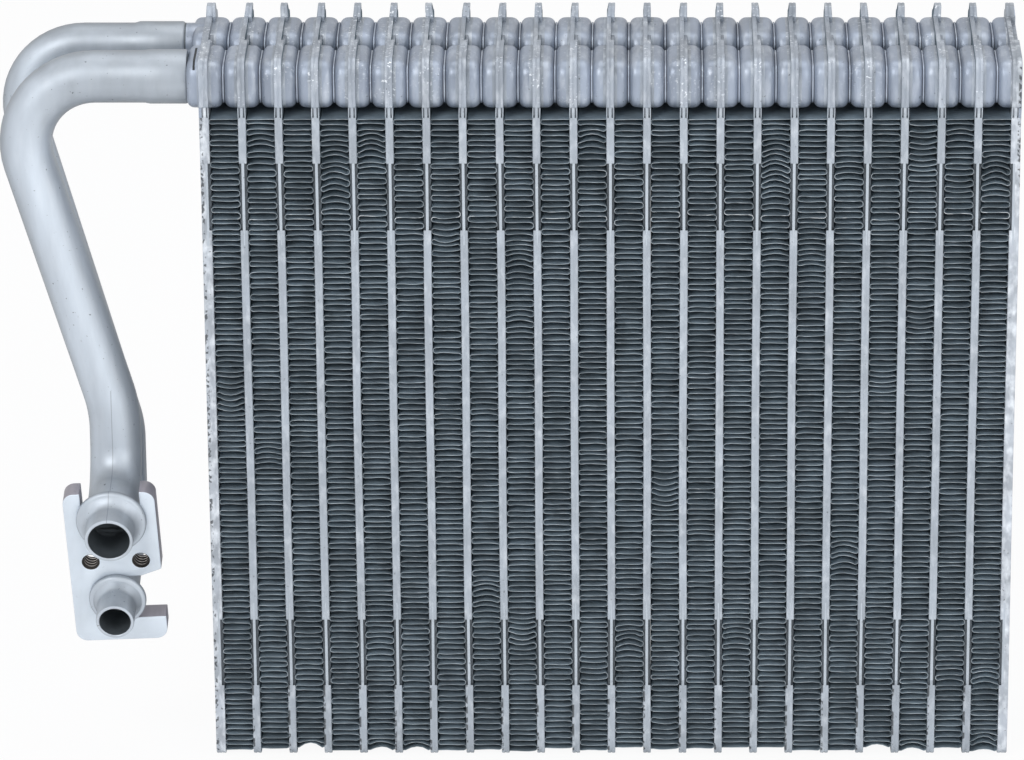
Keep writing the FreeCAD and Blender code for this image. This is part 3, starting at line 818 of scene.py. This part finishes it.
def leg_heights(low, high, chance):
    """Heights of a fin's legs from foot to head, a little uneven."""
    gaps = [1.0 + chance.uniform(-SPACING_SPREAD, SPACING_SPREAD) for leg in range(2 * WAVES)]
    scale = (high - low) / sum(gaps)
    heights = [low]
    for gap in gaps:
        heights.append(heights[-1] + gap * scale)
    return heights


def bow_at(height, dents):
    """Bow of the legs near the dents of this column."""
    return sum(depth * math.exp(-((height - place) / width) ** 2) for place, depth, width in dents)


def fold_points(chance, dents, half_gap, low, high):
    """Centre line of a folded strip in X and Z: level legs joined by round turns."""
    heights = leg_heights(low, high, chance)
    points = [(-half_gap, low)]
    for index, height in enumerate(heights[:-1]):
        above = heights[index + 1]
        way = 1 if index % 2 == 0 else -1
        radius = (above - height) / 2
        inner = half_gap - radius
        sag = chance.uniform(-LEG_SAG, LEG_SAG) + bow_at(height, dents)
        tilt = chance.uniform(-LEG_TILT, LEG_TILT)
        for step in range(LEG_POINTS):
            share = 2 * step / (LEG_POINTS - 1) - 1
            bow = sag * (1 - share * share)
            points.append((way * inner * share, height + bow + tilt * share * (1 - share * share)))
        for step in range(1, TURN_POINTS + 1):
            angle = math.pi * step / (TURN_POINTS + 1) - math.pi / 2
            middle = (height + above) / 2
            points.append((way * (inner + radius * math.cos(angle)), middle + radius * math.sin(angle)))
    points.append((-way * half_gap, high))
    return points


def build_fins():
    """Folded strips between the tubes, each with its own unevenness."""
    half_gap = HALF_PITCH - HALF_TUBE - FIN_SHEET / 2 + FIN_BITE
    low = FIN_LOW.z / MM + FIN_SHEET / 2
    high = FIN_HIGH.z / MM - FIN_SHEET / 2
    for number in range(1, TUBES + 2):
        chance = random.Random(FIN_SEED + number)
        dents = list(BOWS.get(number, ()))
        stray = chance.uniform(low + STRAY_MARGIN, high - STRAY_MARGIN)
        dents.append((stray, chance.uniform(-STRAY_BOW, STRAY_BOW), chance.uniform(*STRAY_REACH)))
        bm = bmesh.new()
        front = FIN_LOW.y / MM + chance.uniform(0.0, FRONT_SPREAD)
        foot = low + chance.uniform(0.0, FOOT_SPREAD)
        strip = [bm.verts.new((x, front, z)) for x, z in fold_points(chance, dents, half_gap, foot, high)]
        line = [bm.edges.new(pair) for pair in zip(strip, strip[1:])]
        grown = bmesh.ops.extrude_edge_only(bm, edges=line)["geom"]
        lifted = [item for item in grown if isinstance(item, bmesh.types.BMVert)]
        bmesh.ops.translate(bm, verts=lifted, vec=(0, FIN_HIGH.y / MM - front, 0))
        bmesh.ops.recalc_face_normals(bm, faces=bm.faces)
        bmesh.ops.solidify(bm, geom=bm.faces[:], thickness=FIN_SHEET)
        for face in bm.faces:
            face.normal_update()
            if abs(face.normal.y) > FACES_ALONG:
                face.material_index = CUT_EDGE
            elif abs(face.normal.x) > TURN_FACES_ALONG:
                face.material_index = TURN
        bmesh.ops.translate(bm, vec=(PITCH * (number - TUBES / 2 - 1), 0, 0), verts=bm.verts)
        millimetres(bm)
        piece_from(bm, "folded_fin_%02d" % number, ["fin_%02d" % number], FIN_FINISH)


# Pipes

def flange_frame():
    """Frame of the flange: its own Z leaves its face."""
    turn = Matrix.Rotation(FLANGE_TURN, 4, "X") @ Matrix.Rotation(FLANGE_ROLL, 4, "Z")
    return Matrix.Translation(FLANGE_SEAT) @ turn


def ring_at(bm, centre, heading, radius):
    """Open ring of edges across a heading."""
    turn = Vector((0, 0, 1)).rotation_difference(heading).to_matrix().to_4x4()
    place = Matrix.Translation(centre) @ turn
    verts = bmesh.ops.create_circle(bm, cap_ends=False, segments=PIPE_SIDES, radius=radius, matrix=place)["verts"]
    return list(verts) + list({edge for vert in verts for edge in vert.link_edges})


def ring_parts(geometry):
    """Corners of a ring, and its edges alone."""
    verts = [item for item in geometry if isinstance(item, bmesh.types.BMVert)]
    inside = set(verts)
    edges = [item for item in geometry if isinstance(item, bmesh.types.BMEdge) and inside.issuperset(item.verts)]
    return verts, edges


def run_on(bm, ring, shift, centre, factor=1.0):
    """Straight stretch from a ring, its far end scaled about its centre."""
    edges = ring_parts(ring)[1]
    grown = bmesh.ops.extrude_edge_only(bm, edges=edges)["geom"]
    verts, edges = ring_parts(grown)
    bmesh.ops.translate(bm, verts=verts, vec=shift)
    if factor != 1.0:
        bmesh.ops.scale(bm, verts=verts, vec=(factor, factor, factor), space=Matrix.Translation(-centre))
    return verts + edges


def route_of(pipe):
    """Corners of a pipe's centre line from its boss to its seat on the flange."""
    place = flange_frame()
    seat = place @ Vector(pipe["shift"])
    normal = (place.to_3x3() @ Vector((0, 0, 1))).normalized()
    elbow = seat + normal * ((pipe["y"] - seat.y) / normal.y)
    return [
        Vector((BOSS_FACE, pipe["y"], pipe["height"])),
        Vector((pipe["corner_x"], pipe["y"], pipe["height"])),
        elbow + Vector((0, 0, pipe["upright"])),
        elbow,
        seat,
    ], normal


def lay_wall(bm, corners, bends, stations, radius):
    """Wall of a bent pipe: stations (distance along the first run, radius), then runs and bends."""
    heading = (corners[1] - corners[0]).normalized()
    place = corners[0] + heading * stations[0][0]
    current = stations[0][1]
    first = ring_at(bm, place, heading, current)
    ring = first
    for distance, wide in stations[1:]:
        target = corners[0] + heading * distance
        ring = run_on(bm, ring, target - place, target, wide / current)
        place = target
        current = wide
    for index in range(1, len(corners) - 1):
        ahead = (corners[index + 1] - corners[index]).normalized()
        turn = heading.angle(ahead)
        tangent = bends[index - 1] * math.tan(turn / 2)
        target = corners[index] - heading * tangent
        ring = run_on(bm, ring, target - place, target)
        axis = heading.cross(ahead).normalized()
        centre = target + axis.cross(heading) * bends[index - 1]
        spun = bmesh.ops.spin(bm, geom=ring, cent=centre, axis=axis, angle=turn,
                              steps=BEND_STEPS[index - 1], use_merge=False, use_duplicate=False)
        ring = spun["geom_last"]
        place = corners[index] + ahead * tangent
        heading = ahead
    ring = run_on(bm, ring, corners[-1] - place, corners[-1])
    return first, ring


def lathe(bm, profile, place):
    """Turned piece from its profile (radius, height), closed on itself, set in its frame."""
    turned = bmesh.new()
    verts = [turned.verts.new((radius, 0, height)) for radius, height in profile]
    edges = [turned.edges.new((verts[index - 1], verts[index])) for index in range(len(verts))]
    bmesh.ops.spin(turned, geom=verts + edges, cent=(0, 0, 0), axis=(0, 0, 1), angle=2 * math.pi,
                   steps=PIPE_SIDES, use_merge=True, use_duplicate=False)
    bmesh.ops.remove_doubles(turned, verts=turned.verts, dist=WELD_DISTANCE)
    bmesh.ops.recalc_face_normals(turned, faces=turned.faces)
    bmesh.ops.transform(turned, matrix=place, verts=turned.verts)
    merged(bm, turned)


def spigot_profile(pipe):
    """Profile of the bead and spigot, with rounded rims."""
    bead = pipe["bead"]
    nose = pipe["spigot"]
    mouth = pipe["mouth"]
    reach = pipe["reach"]
    corners = (
        (bead, 0.0, BEAD_BACK_ROUND),
        (bead, BEAD_RIM, BEAD_FRONT_ROUND),
        (nose, BEAD_RIM + BEAD_SLOPE, SPIGOT_FOOT_ROUND),
        (nose, reach, SPIGOT_TIP_ROUND),
        (mouth, reach, MOUTH_ROUND),
    )
    profile = [(mouth, 0.0)]
    for radius, height, rounding in corners:
        profile += [(radius + across, height + along) for across, along in rounding]
    return profile


def build_pipe(kind):
    """Hollow pipe from its boss to the mouth of its spigot."""
    pipe = PIPES[kind]
    corners, normal = route_of(pipe)
    bm = bmesh.new()
    sleeve_from = pipe["neck"]
    sleeve_to = sleeve_from + pipe["sleeve"]
    wide = pipe["sleeve_radius"]
    outside = [(-NECK_ENTRY, NECK_RADIUS), (sleeve_from - NECK_SHADE, NECK_RADIUS), (sleeve_from, NECK_RADIUS),
               (sleeve_from + SLEEVE_ROUND, wide - SLEEVE_ROUND), (sleeve_from + SLEEVE_LIP, wide),
               (sleeve_to, wide), (sleeve_to + SLEEVE_TAPER, pipe["radius"])]
    inner_end = sleeve_from + SLEEVE_WALL
    neck_bore = NECK_RADIUS - NECK_WALL
    inside = [(-NECK_ENTRY, neck_bore), (inner_end, neck_bore), (inner_end + BORE_STEP, pipe["bore"])]
    outer_first, outer_last = lay_wall(bm, corners, pipe["bends"], outside, pipe["radius"])
    outer_faces = set(bm.faces)
    inner_first, inner_last = lay_wall(bm, corners, pipe["bends"], inside, pipe["bore"])
    # Painted shade on the inner wall.
    for face in bm.faces:
        if face not in outer_faces:
            face.material_index = BORE
    for outer, inner in ((outer_first, inner_first), (outer_last, inner_last)):
        bmesh.ops.bridge_loops(bm, edges=ring_parts(outer)[1] + ring_parts(inner)[1])
    place = flange_frame() @ Matrix.Translation(pipe["shift"])
    lathe(bm, spigot_profile(pipe), place)
    bmesh.ops.recalc_face_normals(bm, faces=bm.faces)
    millimetres(bm)
    mark_bore(bm, pipe, place)
    mark_oxide_and_shade(bm)
    piece_from(bm, "bent_%s_pipe" % kind, ["%s_pipe" % kind], PIPE_FINISH)


def share_between(value, start, finish):
    """Share of the way from start to finish, from 0 to 1."""
    return min(1.0, max(0.0, (value - start) / (finish - start)))


def mark_oxide_and_shade(bm):
    """Marks painted shade on the tops of the runs and on both sides of the legs, from the lean of the wall, and
    oxide on the worked ends, where the pipes are darker.
    """
    bm.normal_update()
    layer = bm.verts.layers.float.new("oxide_and_shade")
    for vert in bm.verts:
        across = vert.co.x / MM
        height = vert.co.z / MM
        # Painted shade: over, inner and outer darken the wall by its lean; along and low are oxide on the worked
        # ends.
        over = (vert.normal.z - UPPER_TURN[0]) / UPPER_TURN[1]
        fade = share_between(height, INNER_SHADE_TOP, INNER_SHADE_TOP - INNER_SHADE_FADE)
        inner = fade * (vert.normal.x - INNER_TURN[0]) / INNER_TURN[1]
        along = share_between(across, *WORKED_RUN) * share_between(height, *WORKED_RUN_FOOT)
        low = share_between(height, *WORKED_END)
        outer = share_between(-vert.normal.x, 0.0, 1.0) * share_between(height, *OUTER_BEND)
        vert[layer] = min(1.0, max(0.0, over, inner, WORKED_RUN_SHARE * along, WORKED_END_SHARE * low,
                                   OUTER_BEND_SHARE * outer))


def mark_bore(bm, pipe, place):
    """Paints shade on the inside of the mouth and on the gap before the sleeve, and gives the neck the cups'
    finish.
    """
    back = place.inverted()
    gap_from = BOSS_FACE - pipe["neck"]
    for face in bm.faces:
        centre = face.calc_center_median() / MM
        middle = back @ centre
        in_mouth = math.hypot(middle.x, middle.y) < pipe["mouth"] + FINE_SLACK
        if in_mouth and MOUTH_BACK < middle.z < pipe["reach"] - MOUTH_LIP:
            face.material_index = BORE
        around = math.hypot(centre.y - pipe["y"], centre.z - pipe["height"])
        if centre.x > gap_from and around < NECK_RADIUS + SLACK:
            face.material_index = BORE if centre.x < gap_from + NECK_SHADE else COLLAR


# Flange

def thread(bm, x, y):
    """Ridge of a screw thread round one hole, wound from back to front."""
    ridge = bmesh.new()
    wall = HOLE_RADIUS + FINE_SLACK
    crest = HOLE_RADIUS - THREAD_DEPTH
    verts = [ridge.verts.new((radius, 0, THREAD_PITCH * share))
             for radius, share in zip((wall, crest, crest, wall), THREAD_SHARES)]
    edges = [ridge.edges.new(pair) for pair in zip(verts, verts[1:])]
    turns = FLANGE_THICKNESS / THREAD_PITCH - 1
    bmesh.ops.spin(ridge, geom=verts + edges, cent=(0, 0, 0), axis=(0, 0, 1),
                   dvec=(0, 0, THREAD_PITCH / THREAD_SIDES), angle=2 * math.pi * turns,
                   steps=int(THREAD_SIDES * turns), use_merge=False, use_duplicate=False)
    bmesh.ops.translate(ridge, verts=ridge.verts, vec=(x, y, SLACK - FLANGE_THICKNESS))
    ridge.normal_update()
    for face in ridge.faces:
        # Painted shade on the flanks between the ridges.
        face.material_index = RIDGE if abs(face.normal.z) < THREAD_FLANK else ROOT
    merged(bm, ridge)


def build_flange():
    """Forked flange from its own solid, with eased edges and threaded holes."""
    bm = bmesh.new()
    bm.from_mesh(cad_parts["valve_flange"].data)
    bmesh.ops.scale(bm, vec=(1 / MM, 1 / MM, 1 / MM), verts=bm.verts)
    bmesh.ops.remove_doubles(bm, verts=bm.verts, dist=FLANGE_WELD)
    bmesh.ops.dissolve_limit(bm, angle_limit=FLANGE_FLAT, verts=bm.verts, edges=bm.edges)
    place = flange_frame()
    bmesh.ops.transform(bm, matrix=place.inverted(), verts=bm.verts)
    rims = [edge for edge in bm.edges if edge.calc_face_angle(0) > FLANGE_CORNER]
    bmesh.ops.bevel(bm, geom=rims, offset=FLANGE_EDGE, segments=FLANGE_SEGMENTS, profile=0.5, affect="EDGES",
                    material=-1, clamp_overlap=True)
    bm.normal_update()
    for face in bm.faces:
        if abs(face.normal.z) < FLANGE_SIDE_LEAN:
            face.material_index = SAWN
    for side in SIDES:
        for face in bm.faces:
            middle = face.calc_center_median()
            around = math.hypot(middle.x - side * HOLE_SIDE, middle.y + HOLE_DROP)
            # Painted shade on the hole's wall and its eased rim.
            if around < HOLE_RADIUS + FLANGE_EDGE * HOLE_RIM_SHARE:
                face.material_index = ROOT
        thread(bm, side * HOLE_SIDE, -HOLE_DROP)
    bmesh.ops.transform(bm, matrix=place, verts=bm.verts)
    millimetres(bm)
    piece_from(bm, "forked_flange", ["valve_flange"], FLANGE_FINISH)


# Stage

def soft_light(name, place, aim, size, power):
    """Area light at a place, facing a point."""
    lamp = bpy.data.lights.new(name, "AREA")
    lamp.shape = "RECTANGLE"
    lamp.size, lamp.size_y = size
    lamp.energy = power
    body = bpy.data.objects.new(name, lamp)
    body.location = place
    body.rotation_euler = (Vector(aim) - Vector(place)).to_track_quat("-Z", "Y").to_euler()
    bpy.context.scene.collection.objects.link(body)


def build_stage():
    """Pale floor, white surroundings and soft lamps."""
    bm = bmesh.new()
    bmesh.ops.create_grid(bm, x_segments=1, y_segments=1, size=FLOOR_REACH)
    mesh = bpy.data.meshes.new("floor")
    bm.to_mesh(mesh)
    bm.free()
    mesh.materials.append(plain_floor())
    floor = bpy.data.objects.new("floor", mesh)
    bpy.context.scene.collection.objects.link(floor)
    world = bpy.data.worlds.new("studio")
    bpy.context.scene.world = world
    world.use_nodes = True
    tree = world.node_tree
    sky = tree.nodes["Background"]
    sky.inputs["Color"].default_value = SKY_COLOUR
    sky.inputs["Strength"].default_value = SKY_STRENGTH
    white = node_of(tree, "ShaderNodeBackground", color=WHITE, strength=1.0)
    blend_shaders(tree, seen_directly(tree, 1.0), sky, white, tree.nodes["World Output"].inputs["Surface"])
    for name, (place, aim, size, power) in LAMPS.items():
        soft_light(name, place, aim, size, power)


def build_camera():
    """Camera at the photo's viewing angle."""
    camera = bpy.data.cameras.new("camera")
    camera.lens = CAMERA_LENS
    camera.sensor_width = CAMERA_SENSOR
    camera.shift_x = CAMERA_SHIFT
    body = bpy.data.objects.new("camera", camera)
    body.location = CAMERA_PLACE
    body.rotation_euler = (math.radians(90 - CAMERA_DIP), 0, 0)
    bpy.context.scene.collection.objects.link(body)
    bpy.context.scene.camera = body
    bpy.context.scene.view_settings.view_transform = "Standard"


build_tubes()
build_end_plates()
build_fins()
build_pipe("suction")
build_pipe("liquid")
build_flange()
build_stage()
build_camera()
